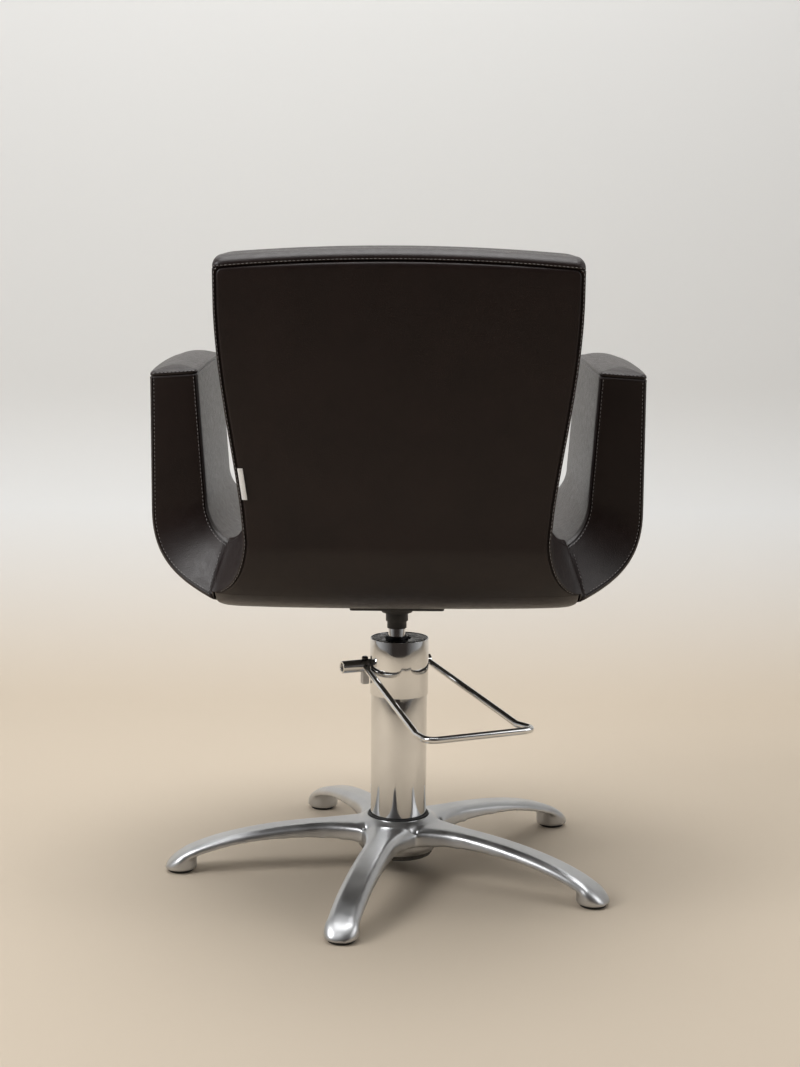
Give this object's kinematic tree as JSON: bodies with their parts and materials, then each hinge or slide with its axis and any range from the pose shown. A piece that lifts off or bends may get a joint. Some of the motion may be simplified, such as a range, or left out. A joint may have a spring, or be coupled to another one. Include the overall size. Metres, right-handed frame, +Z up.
{
  "type": "hairdressing chair",
  "caption": "Padded salon chair with curved arms and a flared back on a pedal-pumped lifting column and a polished star base; it turns, rises and rests on flat glides.",
  "frame": {"origin": "on the floor, on the axis of the column", "axes": "+Z up, +Y towards the front of the chair, +X to the right seen from behind"},
  "size_m": [0.6307, 0.6291, 0.855],
  "materials": {
    "polished_aluminium": "polished casting",
    "chrome": "bright chrome plate",
    "dark_steel": "black finished steel, glossy",
    "zinc_steel": "zinc plated",
    "cast_iron": "dark painted casting",
    "bronze": "plain bearing bronze",
    "rubber": "matt black",
    "leather": "near-black fine grain, semi-gloss",
    "plywood": "bare plywood",
    "dust_cloth": "black felted cloth"
  },
  "bodies": {
    "base": {"star_base": "polished_aluminium", "foot_glide_1": "rubber", "foot_glide_2": "rubber", "foot_glide_3": "rubber", "foot_glide_4": "rubber", "foot_glide_5": "rubber", "pump_base": "cast_iron", "column_gasket": "rubber", "column_tube": "chrome", "head_sleeve": "chrome", "pump_head": "cast_iron", "pump_barrel": "zinc_steel", "rod_bush": "bronze", "head_cap": "dark_steel", "cap_bush": "dark_steel", "plunger_spring": "zinc_steel"},
    "pedal": {"pedal_shaft": "chrome", "pump_finger": "zinc_steel", "pedal_stirrup": "chrome", "clamp_lug": "zinc_steel", "clamp_bolt": "dark_steel"},
    "plunger": {"pump_plunger": "zinc_steel"},
    "piston": {"piston_disc": "zinc_steel", "piston_seal": "rubber", "thrust_washer": "bronze"},
    "seat": {"piston_rod": "chrome", "rod_collar": "dark_steel", "seat_plate": "zinc_steel", "mount_rail_right": "zinc_steel", "mount_rail_left": "zinc_steel", "plate_bolt_1": "dark_steel", "plate_bolt_2": "dark_steel", "plate_bolt_3": "dark_steel", "plate_bolt_4": "dark_steel", "arm_frame_right": "zinc_steel", "arm_frame_left": "zinc_steel", "back_frame_right": "zinc_steel", "back_frame_left": "zinc_steel", "arm_bolt_right_1": "dark_steel", "arm_bolt_right_2": "dark_steel", "arm_bolt_left_1": "dark_steel", "arm_bolt_left_2": "dark_steel", "back_bolt_right_1": "dark_steel", "back_bolt_right_2": "dark_steel", "back_bolt_left_1": "dark_steel", "back_bolt_left_2": "dark_steel", "seat_board": "plywood", "dust_cover": "dust_cloth", "arm_right": "leather", "arm_left": "leather", "back_cushion": "leather", "back_panel": "leather", "back_welt": "leather", "seat_cushion": "leather"}
  },
  "joints": [
    {"name": "lift", "type": "slide", "parent": "base", "child": "piston", "axis": [0, 0, 1], "range_m": [0, 0.13]},
    {"name": "swivel", "type": "hinge", "parent": "piston", "child": "seat", "pos_m": [-0.00365, -0.00163, 0.38], "axis": [0, 0, 1], "continuous": true},
    {"name": "pedal_press", "type": "hinge", "parent": "base", "child": "pedal", "pos_m": [-0.00895, 0.0201, 0.284], "axis": [0.9135, 0.4067, 0], "range_deg": [0, 21], "stiffness_Nm_per_rad": 3, "springref_deg": -25.78},
    {"name": "plunger_stroke", "type": "slide", "parent": "base", "child": "plunger", "axis": [0, 0, -1], "range_m": [0, 0.0082], "deforming": ["plunger_spring"]}
  ],
  "couplings": [
    {"joint": "plunger_stroke", "follows": "pedal_press", "m_per_rad": 0.0212}
  ]
}
